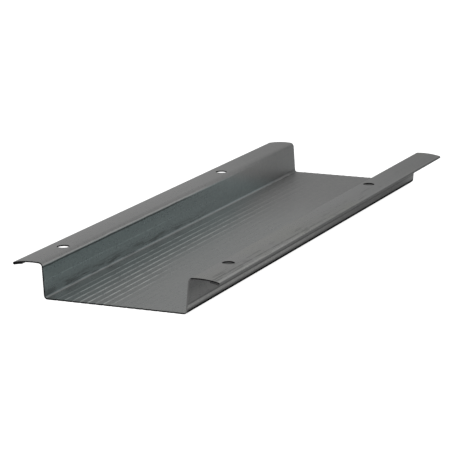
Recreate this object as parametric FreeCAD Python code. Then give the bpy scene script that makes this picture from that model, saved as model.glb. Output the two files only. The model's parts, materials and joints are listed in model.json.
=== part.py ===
import FreeCAD, Part
import math
import os

# Hat channel: one strip of galvanised sheet rolled to a hat section and cut square at both ends.
# Millimetres and degrees. X runs across the section, Y along the length and Z up from the crown,
# which lies on the floor. The origin is on the crown's underside, in the middle of width and length.

# Strip
sheet = 0.6
length = 300.0

# Crown: width outside, to the sharp corners of the foot bends, with fine beads pressed up along it
crown_width = 68.0
bead_pairs = 8
bead_pitch = 3.7
bead_width = 1.8
bead_height = 0.1

# Walls: height is overall, to the top of the arched flanges; bend radii are on the inside of the bend
height = 16.5
wall_splay = 4.0
foot_radius = 1.2
shoulder_radius = 1.6

# Flanges: a low arch that still rises where it leaves the shoulder and falls towards its edge
flange_arch_radius = 42.0
flange_rise = 4.0
flange_fall = 12.5

# Hem: the flange's edge folded back under itself
hem_width = 3.9
hem_gap = 0.1

# Screw holes: one pair at each place along the flanges
hole_diameter = 5.5
hole_span = 80.0
hole_pitch = 181.0
hole_from_end = 31.0


class Strip:
    """Sheet walked along its middle line in the XZ plane, leaving an edge on each face as it goes."""

    def __init__(self, x, z):
        self.x = x
        self.z = z
        self.heading = 0.0
        self.lower = []
        self.upper = []

    def faces(self):
        """Points on the lower and the upper face, square to the middle line."""
        turn = math.radians(self.heading)
        across = FreeCAD.Vector(-math.sin(turn), 0, math.cos(turn)) * (sheet / 2)
        middle = FreeCAD.Vector(self.x, 0, self.z)
        return middle - across, middle + across

    def straight(self, run):
        start = self.faces()
        self.x += run * math.cos(math.radians(self.heading))
        self.z += run * math.sin(math.radians(self.heading))
        end = self.faces()
        self.lower.append(Part.makeLine(start[0], end[0]))
        self.upper.append(Part.makeLine(start[1], end[1]))

    def swing(self, radius, turn):
        """Move on without an edge: left for a positive turn, right for a negative one."""
        before = math.radians(self.heading)
        after = math.radians(self.heading + turn)
        reach = math.copysign(radius, turn)
        self.x += reach * (math.sin(after) - math.sin(before))
        self.z += reach * (math.cos(before) - math.cos(after))
        self.heading += turn

    def bend(self, radius, turn):
        start = self.faces()
        self.swing(radius, turn / 2)
        middle = self.faces()
        self.swing(radius, turn / 2)
        end = self.faces()
        self.lower.append(Part.Arc(start[0], middle[0], end[0]).toShape())
        self.upper.append(Part.Arc(start[1], middle[1], end[1]).toShape())


def walk_crown(strip):
    """Half the crown: beads of three equal arcs, half a pitch off the middle, then flat to the foot bend."""
    flank = 2 * math.atan(2 * bead_height / bead_width)
    bead_radius = bead_width / (4 * math.sin(flank))
    slope = math.degrees(flank)
    between = bead_pitch - bead_width
    strip.straight(between / 2)
    for bead in range(bead_pairs):
        strip.bend(bead_radius, slope)
        strip.bend(bead_radius, -2 * slope)
        strip.bend(bead_radius, slope)
        if bead < bead_pairs - 1:
            strip.straight(between)
    corner_to_bend = (foot_radius + sheet) * math.tan(math.radians(90 - wall_splay) / 2)
    strip.straight(crown_width / 2 - corner_to_bend - strip.x)


def walk_wall(strip):
    """Foot bend, leaning wall and shoulder bend; the wall's run brings the flange's arch to the full height."""
    lean = 90 - wall_splay
    shoulder = shoulder_radius + sheet / 2
    strip.bend(foot_radius + sheet / 2, lean)
    rise = math.radians(flange_rise)
    shoulder_height = shoulder * (math.cos(rise) - math.cos(math.radians(lean)))
    arch_height = flange_arch_radius * (1 - math.cos(rise))
    wall_height = height - sheet / 2 - strip.z - shoulder_height - arch_height
    strip.straight(wall_height / math.sin(math.radians(lean)))
    strip.bend(shoulder, flange_rise - lean)


def walk_flange(strip):
    """Arched flange, then the hem: a tight fold and a return that follows the arch from below."""
    strip.bend(flange_arch_radius, -(flange_rise + flange_fall))
    strip.bend((hem_gap + sheet) / 2, -180)
    return_radius = flange_arch_radius - sheet - hem_gap
    strip.bend(return_radius, math.degrees(hem_width / return_radius))


def make_section():
    """Closed outline of the whole section: the right half as walked, and its mirror image."""
    strip = Strip(0, sheet / 2)
    walk_crown(strip)
    walk_wall(strip)
    walk_flange(strip)
    half = strip.lower + [Part.makeLine(*strip.faces())] + strip.upper
    mirrored = [edge.mirror(FreeCAD.Vector(0, 0, 0), FreeCAD.Vector(1, 0, 0)) for edge in half]
    return Part.Face(Part.Wire(Part.__sortEdges__(half + mirrored)))


def punch_holes(channel):
    """Round holes straight down through both flanges, clear of the hems."""
    depth = height / 2
    first = hole_from_end - length / 2
    for across in (-hole_span / 2, hole_span / 2):
        for along in (first, first + hole_pitch):
            foot = FreeCAD.Vector(across, along, height - depth / 2)
            channel = channel.cut(Part.makeCylinder(hole_diameter / 2, depth, foot))
    return channel


section = make_section()
section.translate(FreeCAD.Vector(0, -length / 2, 0))
channel = section.extrude(FreeCAD.Vector(0, length, 0)).removeSplitter()
channel = punch_holes(channel)

os.makedirs("parts", exist_ok=True)
channel.exportStep("parts/hat_channel.step")
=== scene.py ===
import json
import math

import bpy
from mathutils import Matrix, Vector


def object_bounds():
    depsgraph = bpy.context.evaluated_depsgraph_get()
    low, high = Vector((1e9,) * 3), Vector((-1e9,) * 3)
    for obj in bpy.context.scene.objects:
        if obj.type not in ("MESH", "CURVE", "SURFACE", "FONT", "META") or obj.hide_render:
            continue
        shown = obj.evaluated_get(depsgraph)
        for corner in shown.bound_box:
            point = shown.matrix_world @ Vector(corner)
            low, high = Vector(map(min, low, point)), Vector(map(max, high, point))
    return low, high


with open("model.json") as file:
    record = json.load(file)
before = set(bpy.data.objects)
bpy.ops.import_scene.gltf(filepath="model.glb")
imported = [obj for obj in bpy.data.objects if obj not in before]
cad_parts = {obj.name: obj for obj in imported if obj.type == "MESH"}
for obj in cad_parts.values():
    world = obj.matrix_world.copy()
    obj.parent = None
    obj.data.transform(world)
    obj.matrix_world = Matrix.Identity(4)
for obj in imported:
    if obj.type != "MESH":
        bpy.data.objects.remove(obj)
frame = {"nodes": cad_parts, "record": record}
cad_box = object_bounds()

# Hat channel: one strip of hot-dip galvanised sheet steel, rolled to a hat section with fine beads along
# its crown and a hem folded under each flange, then punched for screws and sheared to length.
# The rollers streak the zinc and their oil smears it, and the cut edges are bare steel. Painted highlights
# lie along the bead crests, bends and hem, and painted shade darkens the furrows, creases, foot bends,
# outer walls under the flanges and the far end.
channel = frame["nodes"]["hat_channel"]
half_width = cad_box[1][0]
top = cad_box[1][2]


def add(tree, kind, inputs=None, **settings):
    """A node with its settings made, and its inputs linked to a socket or set to a value."""
    node = tree.nodes.new(kind)
    for name, value in settings.items():
        setattr(node, name, value)
    for name, value in (inputs or {}).items():
        if isinstance(value, bpy.types.NodeSocket):
            tree.links.new(value, node.inputs[name])
        else:
            node.inputs[name].default_value = value
    return node


def maths(tree, how, *values):
    return add(tree, "ShaderNodeMath", dict(enumerate(values)), operation=how).outputs[0]


def times(tree, first, *others):
    for other in others:
        first = maths(tree, "MULTIPLY", first, other)
    return first


def strongest(tree, first, *others):
    for other in others:
        first = maths(tree, "MAXIMUM", first, other)
    return first


def ramp(tree, value, start, end, low=0.0, high=1.0):
    """A soft step of a value: low up to start, high from end on."""
    places = {"Value": value, "From Min": start, "From Max": end, "To Min": low, "To Max": high}
    return add(tree, "ShaderNodeMapRange", places, interpolation_type="SMOOTHSTEP").outputs["Result"]


line_core = 0.3


def line(tree, value, at, width):
    """1 along a line where a value has one level, fading out over its width to each side."""
    away = maths(tree, "ABSOLUTE", maths(tree, "SUBTRACT", value, at))
    return ramp(tree, away, width, line_core * width)


def tint(tree, share, under, over, how="MIX"):
    """One colour laid over another by a share that changes over the surface."""
    colours = {"Factor": share, 6: under, 7: over}
    return add(tree, "ShaderNodeMix", colours, data_type="RGBA", blend_type=how).outputs[2]


grain_detail = 2.0
grain_roughness = 0.6


def grain(tree, place, across, along, detail=grain_detail):
    """Noise whose grains are so wide and, along the channel, so long."""
    scale = (1 / across, 1 / along, 1 / across)
    at = add(tree, "ShaderNodeMapping", {"Vector": place, "Scale": scale}).outputs["Vector"]
    settings = {"Vector": at, "Scale": 1.0, "Detail": detail, "Roughness": grain_roughness}
    return add(tree, "ShaderNodeTexNoise", settings).outputs["Fac"]


face_step = (0.5, 0.9)
crown_edge = (0.0335, 0.0325)
bead_edge = (0.0293, 0.0288)
bead_turn = (-0.110, -0.058)
bead_reach = (-0.0015, -0.012)
break_size = (0.0025, 0.008)
break_step = (0.36, 0.56)
break_share = (0.2, 1.0)
wander_size = (0.003, 0.01)
wander_middle = 0.5
wander_depth = 0.0007


class Surface:
    """Sockets that say where a point of the sheet lies and which way its face looks."""

    def __init__(self, tree):
        self.place = add(tree, "ShaderNodeTexCoord").outputs["Object"]
        self.x, self.y, self.z = add(tree, "ShaderNodeSeparateXYZ", {"Vector": self.place}).outputs
        self.side = maths(tree, "ABSOLUTE", self.x)
        self.normal = add(tree, "ShaderNodeNewGeometry").outputs["Normal"]
        facing = add(tree, "ShaderNodeSeparateXYZ", {"Vector": self.normal}).outputs
        self.rise = facing["Z"]
        self.lengthways = maths(tree, "ABSOLUTE", facing["Y"])
        self.outwards = times(tree, facing["X"], maths(tree, "SIGN", self.x))
        self.inner = ramp(tree, self.outwards, *(-step for step in face_step))
        self.outer = ramp(tree, self.outwards, *face_step)
        self.upward = ramp(tree, self.rise, *face_step)
        self.crown = times(tree, self.upward, ramp(tree, self.side, *crown_edge))
        self.beaded = ramp(tree, self.side, *bead_edge)
        self.past_beads = maths(tree, "SUBTRACT", self.x, ramp(tree, self.y, *bead_turn, *bead_reach))
        self.breaks = ramp(tree, grain(tree, self.place, *break_size), *break_step, *break_share)
        self.wander = maths(tree, "SUBTRACT", grain(tree, self.place, *wander_size), wander_middle)
        self.level = maths(tree, "ADD", self.z, times(tree, self.wander, wander_depth))


zinc_dull = (0.40, 0.405, 0.405, 1)
zinc_bright = (0.46, 0.46, 0.455, 1)
crystal_size = 0.0013
crystal_share = 0.3
streak_size = (0.0006, 0.06)
streak_detail = 3.0
mottle_step = (0.25, 0.75)


def zinc_coat(tree, at):
    """The zinc's own colour, and the crystals and roller streaks that mottle it."""
    cells = {"Vector": at.place, "Scale": 1 / crystal_size}
    crystals = add(tree, "ShaderNodeTexVoronoi", cells).outputs["Color"]
    crystal = add(tree, "ShaderNodeSeparateColor", {"Color": crystals}).outputs["Red"]
    streaks = grain(tree, at.place, *streak_size, streak_detail)
    streak = times(tree, streaks, 1 - crystal_share)
    mottle = maths(tree, "ADD", times(tree, crystal, crystal_share), streak)
    zinc = tint(tree, ramp(tree, mottle, *mottle_step), zinc_dull, zinc_bright)
    return zinc, mottle, streaks


# Painted shade: the zinc darker towards the far end, less on top faces and on the crown.
far_shade = (0.91, 0.91, 0.91, 1)
far_from = (0.02, 0.14)
far_on_tops = 0.6
far_on_crown = 0.3
# A blue-green film on the inner walls below the shoulder, also lightening them as painted light.
film_and_painted_light = (1.08, 1.26, 1.28, 1)
film_slant = 4.0
film_end = (0.099, 0.139)
film_top = (top - 0.0013, top - 0.0022)
warm_tint = (0.995, 1.0, 0.95, 1)
warm_size = (0.03, 0.06)
warm_step = (0.45, 0.7)
warm_side = (0.02, 0.04)
cool_tint = (0.978, 1.0, 0.992, 1)
cool_end = (0.02, 0.09)
clean_tint = (1.06, 1.06, 1.06, 1)
clean_from = (-0.07, 0.10)
clean_side = (0.014, 0.006)


def weathered_and_shaded(tree, at, zinc):
    """Broad changes of tone: painted shade towards the far end, a blue-green film that also lightens the
    inner walls as painted light, a warm right flange and a cool crown.
    """
    # painted shade towards the far end
    far = times(tree, ramp(tree, at.y, *far_from), ramp(tree, at.upward, 0.0, 1.0, 1.0, far_on_tops))
    far = times(tree, far, ramp(tree, at.crown, 0.0, 1.0, 1.0, far_on_crown))
    zinc = tint(tree, far, zinc, far_shade, "MULTIPLY")
    # blue-green film, partly painted light that lifts the inner walls
    slant = maths(tree, "ADD", at.y, times(tree, at.z, film_slant))
    film = times(tree, at.inner, ramp(tree, slant, *film_end, 1.0, 0.0), ramp(tree, at.z, *film_top))
    zinc = tint(tree, film, zinc, film_and_painted_light, "MULTIPLY")
    warm = ramp(tree, grain(tree, at.place, *warm_size), *warm_step)
    warm = times(tree, warm, at.upward, ramp(tree, at.x, *warm_side))
    zinc = tint(tree, warm, zinc, warm_tint, "MULTIPLY")
    cool = times(tree, at.crown, ramp(tree, at.y, *cool_end, 1.0, 0.0))
    zinc = tint(tree, cool, zinc, cool_tint, "MULTIPLY")
    clean = times(tree, at.crown, ramp(tree, at.y, *clean_from), ramp(tree, at.x, *clean_side))
    return tint(tree, clean, zinc, clean_tint, "MULTIPLY")


# Painted highlight colour for the bead crests, hem fold, an inner-wall line, the outer foot bends and the
# shoulders.
painted_highlight = (2.1, 2.1, 2.07, 1)
# Painted shade in the furrows between the beads.
furrow_shade = (0.79, 0.80, 0.80, 1)
crest_height = (0.00065, 0.00068)
furrow_height = (0.00064, 0.00061)
bead_fade = (-0.006, 0.005)
bead_faintest = 0.03
bead_end = (-0.05, 0.09)
corner_slant = 0.05
corner_side = (-0.0335, -0.0315)
corner_faintest = 0.3
hem_side = (half_width - 0.00186, half_width - 0.00066)
hem_rise = (0.1, 0.4)
hem_end = (-0.10, -0.01)
hem_shine = (0.4, 0.08)
wall_line = {"at": 0.0081, "width": 0.0004}
wall_line_end = (-0.03, 0.02)
wall_line_shine = 0.26
foot_glint = {"at": 0.0034, "width": 0.0011}
foot_glint_end = (-0.04, 0.06)
foot_glint_shine = 0.86
shoulder_glint = {"at": top - 0.0015, "width": 0.0006}
shoulder_facing = (-0.3, -0.6)
shoulder_end = (0.0, 0.05)
shoulder_shine = 0.45


def painted_highlights_and_furrow_shade(tree, at, zinc):
    """Painted highlights on the bead crests, partly where the rollers burnished them, and along bends,
    walls and hem, and painted shade in the bead furrows.
    """
    beads = times(tree, at.upward, at.beaded, ramp(tree, at.past_beads, *bead_fade, 1.0, bead_faintest))
    beads = times(tree, beads, ramp(tree, at.y, *bead_end, 1.0, 0.0))
    # painted shade in the bead furrows
    furrows = times(tree, beads, ramp(tree, at.z, *furrow_height))
    zinc = tint(tree, furrows, zinc, furrow_shade, "MULTIPLY")
    # painted highlight on the bead crests, partly burnish
    crests = times(tree, beads, ramp(tree, at.z, *crest_height), at.breaks)
    corner = maths(tree, "ADD", at.x, times(tree, at.y, corner_slant))
    crests = times(tree, crests, ramp(tree, corner, *corner_side, corner_faintest, 1.0))
    # painted highlights along the hem fold, an inner-wall line, the outer foot bends and the shoulders
    hem = times(tree, ramp(tree, at.x, *hem_side), ramp(tree, at.rise, *hem_rise))
    hem = times(tree, hem, ramp(tree, at.y, *hem_end, *hem_shine))
    wall = times(tree, line(tree, at.level, **wall_line), at.inner, at.breaks)
    wall = times(tree, wall, ramp(tree, at.y, *wall_line_end, wall_line_shine, 0.0))
    foot = times(tree, line(tree, at.z, **foot_glint), at.outer)
    foot = times(tree, foot, ramp(tree, at.y, *foot_glint_end, foot_glint_shine, 0.0))
    shoulder = ramp(tree, at.outwards, *shoulder_facing)
    shoulder = times(tree, shoulder, line(tree, at.level, **shoulder_glint))
    shoulder = times(tree, shoulder, ramp(tree, at.y, *shoulder_end, shoulder_shine, 0.0))
    # all painted highlights laid over the zinc
    return tint(tree, strongest(tree, crests, hem, wall, foot, shoulder), zinc, painted_highlight, "MULTIPLY")


# Colour for oil and dirt, and for painted shade in creases, along lines and under the flanges.
oil_and_shade = (0.085, 0.09, 0.09, 1)
smear_size = (0.0009, 0.014)
smear_detail = 4.0
smear_step = (0.46, 0.64)
smear_share = (0.2, 0.65)
smear_top = (0.0070, 0.0028)
smear_end = (-0.03, 0.07)
smear_faintest = 0.15
end_smear_from = (-0.134, -0.143)
end_smear_top = (0.0048, 0.0030)
end_smear_share = 0.5
# Painted shade: a dark line along the inner shoulder crease, fading out towards the far end.
crease_line = {"at": top - 0.0022, "width": 0.0006}
crease_end = (-0.02, 0.03)
crease_share = 0.72
# Painted shade: a dark line on the flanges over the hem's inner edge, where the sheet is pressed.
hem_line = {"at": half_width - 0.00196, "width": 0.0005}
hem_line_drift = -0.010
hem_line_end = (-0.06, 0.03)
hem_line_share = 0.6
scuff_size = (0.0016, 0.018)
scuff_step = (0.56, 0.66)
scuff_share = 0.35
scuff_side = (0.0415, 0.043)
scuff_end = (0.06, 0.12)
# Dark flecks on the inner foot bends at the far end, partly painted shade that dims the bend's highlight.
foot_bend_side = (0.0318, 0.0324)
foot_bend_top = (0.0030, 0.0020)
foot_bend_rise = (0.0, 0.1)
foot_bend_from = (0.08, 0.14)
foot_bend_step = (-0.1, 0.1)
foot_bend_share = (0.15, 0.45)
# Painted shade: a dark line along the outer walls above the foot bends.
foot_line = {"at": 0.0045, "width": 0.0005}
foot_line_share = 0.4
# Painted shade: the outer walls darker towards the top, under the flanges.
under_flange = (0.005, 0.013)
under_flange_share = 0.6


def oiled_and_shaded(tree, at, zinc):
    """Oil and dirt with painted shade: oil smears on the inner walls and scuffs on the right flange,
    painted shade along the shoulder crease, the hem line, a line on the outer walls and the outer walls
    under the flanges, and dark flecks on the far inner foot bends, partly painted shade.
    """
    smears = grain(tree, at.place, *smear_size, smear_detail)
    smears = times(tree, ramp(tree, smears, *smear_step, *smear_share), at.inner)
    smears = times(tree, smears, ramp(tree, at.z, *smear_top))
    smears = times(tree, smears, ramp(tree, at.y, *smear_end, 1.0, smear_faintest))
    end_smear = times(tree, at.inner, ramp(tree, at.y, *end_smear_from, 0.0, end_smear_share))
    end_smear = times(tree, end_smear, ramp(tree, at.z, *end_smear_top))
    # painted shade along the shoulder crease
    crease = times(tree, line(tree, at.level, **crease_line), at.inner)
    crease = times(tree, crease, ramp(tree, at.y, *crease_end, crease_share, 0.0))
    # painted shade along the hem's inner edge
    drifting = maths(tree, "ADD", at.x, times(tree, at.y, hem_line_drift))
    hem = times(tree, line(tree, drifting, **hem_line), at.upward, at.breaks)
    hem = times(tree, hem, ramp(tree, at.y, *hem_line_end, hem_line_share, 0.0))
    scuffs = ramp(tree, grain(tree, at.place, *scuff_size), *scuff_step, 0.0, scuff_share)
    scuffs = times(tree, scuffs, at.upward, ramp(tree, at.x, *scuff_side))
    scuffs = times(tree, scuffs, ramp(tree, at.y, *scuff_end, 1.0, 0.0))
    # dark flecks, partly painted shade on the far inner foot bends
    bend = times(tree, ramp(tree, at.side, *foot_bend_side), ramp(tree, at.z, *foot_bend_top))
    bend = times(tree, bend, ramp(tree, at.rise, *foot_bend_rise), ramp(tree, at.y, *foot_bend_from))
    bend = times(tree, bend, ramp(tree, at.wander, *foot_bend_step, *foot_bend_share))
    # painted shade along the outer walls
    foot = times(tree, line(tree, at.z, **foot_line), at.outer, foot_line_share)
    # painted shade on the outer walls under the flanges
    corner = times(tree, ramp(tree, at.z, *under_flange), at.outer, under_flange_share)
    # oil, dirt and painted shade together
    share = strongest(tree, smears, end_smear, crease, hem, scuffs, bend, foot, corner)
    return tint(tree, share, zinc, oil_and_shade)


# Painted shade: near-black under the outer foot bends, standing in for the floor's contact shadow.
foot_shade = (0.02, 0.02, 0.02, 1)
foot_top = (0.0024, 0.0010)
foot_rise = (0.0, -0.05)
foot_side = (0.0321, 0.0327)


def shaded_foot(tree, at):
    """The share of painted shade under the outer foot bends, close to the floor."""
    bend = times(tree, ramp(tree, at.z, *foot_top), ramp(tree, at.rise, *foot_rise))
    return times(tree, bend, ramp(tree, at.side, *foot_side))


# Painted shade colour, darkening the far end and the right flange.
end_shade_tint = (0.80, 0.81, 0.81, 1)
end_shade_from = (0.06, 0.13)
end_shade_side = (0.01, 0.03)
end_shade_share = 0.5
flange_side = (0.0335, 0.0355)
flange_from = (-0.08, 0.01)
flange_share = 0.66


def end_and_flange_shade(tree, at, zinc):
    """Painted shade: darker at the far end of the inner walls and right side, and along the right flange
    towards the far end.
    """
    reach = strongest(tree, at.inner, ramp(tree, at.x, *end_shade_side, 0.0, end_shade_share))
    end = times(tree, ramp(tree, at.y, *end_shade_from), reach)
    flange = times(tree, ramp(tree, at.x, *flange_side), ramp(tree, at.y, *flange_from, 0.0, flange_share))
    # painted shade at the far end and on the right flange
    return tint(tree, strongest(tree, end, flange), zinc, end_shade_tint, "MULTIPLY")


# Bare steel, darkened further as painted shade.
shaded_bare_steel = (0.025, 0.025, 0.026, 1)
# Painted highlight along the burrs of the right wall's cut edges and the right hem.
burr_highlight = (0.3, 0.3, 0.3, 1)
cut_facing = (0.7, 0.9)
millimetre = 0.001
holes = next(mount for mount in frame["record"]["mounts"] if mount["name"] == "flange_screw_holes")
hole_across = holes["dims"]["spacing_x_mm"] * millimetre / 2
hole_along = holes["dims"]["spacing_y_mm"] * millimetre / 2
hole_middle = holes["pos_m"][1]
rim_width = 0.00025
hole_rim = holes["dims"]["hole_r_mm"] * millimetre + rim_width
rim_core = 0.95
wall_burr_from = (0.032, 0.0335)
wall_burr_to = (0.0365, 0.0355)
wall_burr_top = (top - 0.0003, top - 0.0010)
hem_slope = 0.163
hem_burr_from = (0.042, 0.043)
hem_burr_top = (0.02297, 0.02287)
hem_burr_share = 0.4


def cut_edges(tree, at):
    """The share of bare steel, on sheared ends and in the holes, and its colour, darkened as painted shade
    and lighter along a burr as a painted highlight.
    """
    ends = ramp(tree, at.lengthways, *cut_facing)
    across = maths(tree, "SUBTRACT", at.side, hole_across)
    along = maths(tree, "ABSOLUTE", maths(tree, "SUBTRACT", at.y, hole_middle))
    along = maths(tree, "SUBTRACT", along, hole_along)
    squares = maths(tree, "ADD", times(tree, across, across), times(tree, along, along))
    from_hole = maths(tree, "SQRT", squares)
    bare = strongest(tree, ends, ramp(tree, from_hole, hole_rim, rim_core * hole_rim))
    # painted highlight along the burrs
    wall_burr = times(tree, ramp(tree, at.x, *wall_burr_from), ramp(tree, at.x, *wall_burr_to))
    wall_burr = times(tree, wall_burr, ramp(tree, at.z, *wall_burr_top))
    above_hem = maths(tree, "ADD", at.z, times(tree, at.x, hem_slope))
    hem_burr = times(tree, ramp(tree, at.x, *hem_burr_from), ramp(tree, above_hem, *hem_burr_top))
    burrs = strongest(tree, wall_burr, times(tree, hem_burr, hem_burr_share))
    return bare, tint(tree, burrs, shaded_bare_steel, burr_highlight)


zinc_roughness = (0.24, 0.36)
mottle_roughness = 0.1
worn_from = (0.02, 0.09)
worn_roughness = 0.14
worn_beads = 0.3
calm_beads = 0.6
calm_from = (-0.135, -0.10)
flat = (0, 0, 1, 1)
wave_size = (0.03, 0.09)
wave_detail = 1.0
wave_depth = 0.00003
streak_depth = 0.0000015


def galvanised_sheet():
    """Zinc with its wear, oil, bare edges, painted highlights and painted shade, slightly wavy, its beads
    fainter at the far end and right.
    """
    material = bpy.data.materials.new("galvanised_sheet")
    material.use_nodes = True
    tree = material.node_tree
    shader = tree.nodes["Principled BSDF"]
    shader.inputs["Metallic"].default_value = 1.0
    at = Surface(tree)

    zinc, mottle, streaks = zinc_coat(tree, at)
    zinc = weathered_and_shaded(tree, at, zinc)
    zinc = painted_highlights_and_furrow_shade(tree, at, zinc)
    zinc = oiled_and_shaded(tree, at, zinc)
    # painted shade under the outer foot bends
    foot = shaded_foot(tree, at)
    zinc = tint(tree, foot, zinc, foot_shade)
    zinc = end_and_flange_shade(tree, at, zinc)
    bare, steel = cut_edges(tree, at)
    tree.links.new(tint(tree, bare, zinc, steel), shader.inputs["Base Color"])
    # painted shade in the foot bends' reflection too
    tree.links.new(tint(tree, foot, (1, 1, 1, 1), foot_shade), shader.inputs["Specular Tint"])

    roughness = ramp(tree, at.y, *far_from, *zinc_roughness)
    roughness = maths(tree, "ADD", roughness, times(tree, mottle, mottle_roughness))
    worn = times(tree, at.crown, ramp(tree, at.y, *worn_from))
    roughness = maths(tree, "ADD", roughness, times(tree, worn, worn_roughness))
    tree.links.new(roughness, shader.inputs["Roughness"])

    waves = grain(tree, at.place, *wave_size, wave_detail)
    height = maths(tree, "ADD", times(tree, waves, wave_depth), times(tree, streaks, streak_depth))
    calm = times(tree, at.crown, ramp(tree, at.past_beads, *bead_fade, 0.0, calm_beads))
    calm = times(tree, calm, ramp(tree, at.y, *calm_from))
    softened = times(tree, strongest(tree, times(tree, worn, worn_beads), calm), at.beaded)
    base = tint(tree, softened, at.normal, flat)
    relief = {"Height": height, "Strength": 1.0, "Distance": 1.0, "Normal": base}
    tree.links.new(add(tree, "ShaderNodeBump", relief).outputs["Normal"], shader.inputs["Normal"])
    return material


channel.material_slots[0].material = galvanised_sheet()

# Floor: a plain sheet of pale board that the channel lies on, matt, and large enough to fill the view.
# It is lit up for the camera alone, so that it looks white while the zinc reflects a soft grey.
floor_reach = 6.0
floor_grey = (0.85, 0.85, 0.85, 1)
floor_roughness = 0.9
floor_lift = (0.93, 0.93, 0.93, 1)
floor_glow = 0.08

floor_mesh = bpy.data.meshes.new("floor")
floor_corners = [(x, y, 0) for x, y in ((-1, -1), (1, -1), (1, 1), (-1, 1))]
floor_mesh.from_pydata([Vector(corner) * floor_reach for corner in floor_corners], [], [(0, 1, 2, 3)])
floor = bpy.data.objects.new("floor", floor_mesh)
bpy.context.scene.collection.objects.link(floor)
floor_board = bpy.data.materials.new("floor_board")
floor_board.use_nodes = True
board = floor_board.node_tree
board_shader = board.nodes["Principled BSDF"]
board_shader.inputs["Base Color"].default_value = floor_grey
board_shader.inputs["Roughness"].default_value = floor_roughness
board_shader.inputs["Specular IOR Level"].default_value = 0.0
board_shader.inputs["Emission Color"].default_value = floor_lift
seen = add(board, "ShaderNodeLightPath").outputs["Is Camera Ray"]
board.links.new(ramp(board, seen, 0.0, 1.0, floor_glow, 1.0), board_shader.inputs["Emission Strength"])
floor_mesh.materials.append(floor_board)

# Light: an even white dome, as in a photographer's tent, dim only along the horizon.
# To the camera it is as white as the floor, so that no horizon shows behind the channel.
dome_levels = (0.2, 0.385)
dome_edge = (-0.02, 0.05)

world = bpy.data.worlds.new("studio")
bpy.context.scene.world = world
world.use_nodes = True
sky = world.node_tree
sky.nodes["Background"].inputs["Color"].default_value = (1, 1, 1, 1)
direction = add(sky, "ShaderNodeTexCoord").outputs["Generated"]
up = add(sky, "ShaderNodeSeparateXYZ", {"Vector": direction}).outputs["Z"]
backdrop = add(sky, "ShaderNodeLightPath").outputs["Is Camera Ray"]
dome = strongest(sky, ramp(sky, up, *dome_edge, *dome_levels), backdrop)
sky.links.new(dome, sky.nodes["Background"].inputs["Strength"])

# Camera: a long lens, low and to the right of the near end, as in the photograph.
# Its angle, distance and target were fitted to the channel's corners and holes.
view_turn = math.radians(22.81)
view_rise = math.radians(12.78)
view_distance = 1.2184
view_target = Vector((-0.01579, 0.01210, 0))
lens_length = 196.5
sensor_width = 36

back = Vector((
    math.sin(view_turn) * math.cos(view_rise),
    -math.cos(view_turn) * math.cos(view_rise),
    math.sin(view_rise),
))
camera = bpy.data.objects.new("camera", bpy.data.cameras.new("camera"))
bpy.context.scene.collection.objects.link(camera)
camera.data.lens = lens_length
camera.data.sensor_width = sensor_width
camera.location = view_target + back * view_distance
camera.rotation_mode = "QUATERNION"
camera.rotation_quaternion = (-back).to_track_quat("-Z", "Y")
bpy.context.scene.camera = camera
bpy.context.scene.view_settings.view_transform = "Standard"
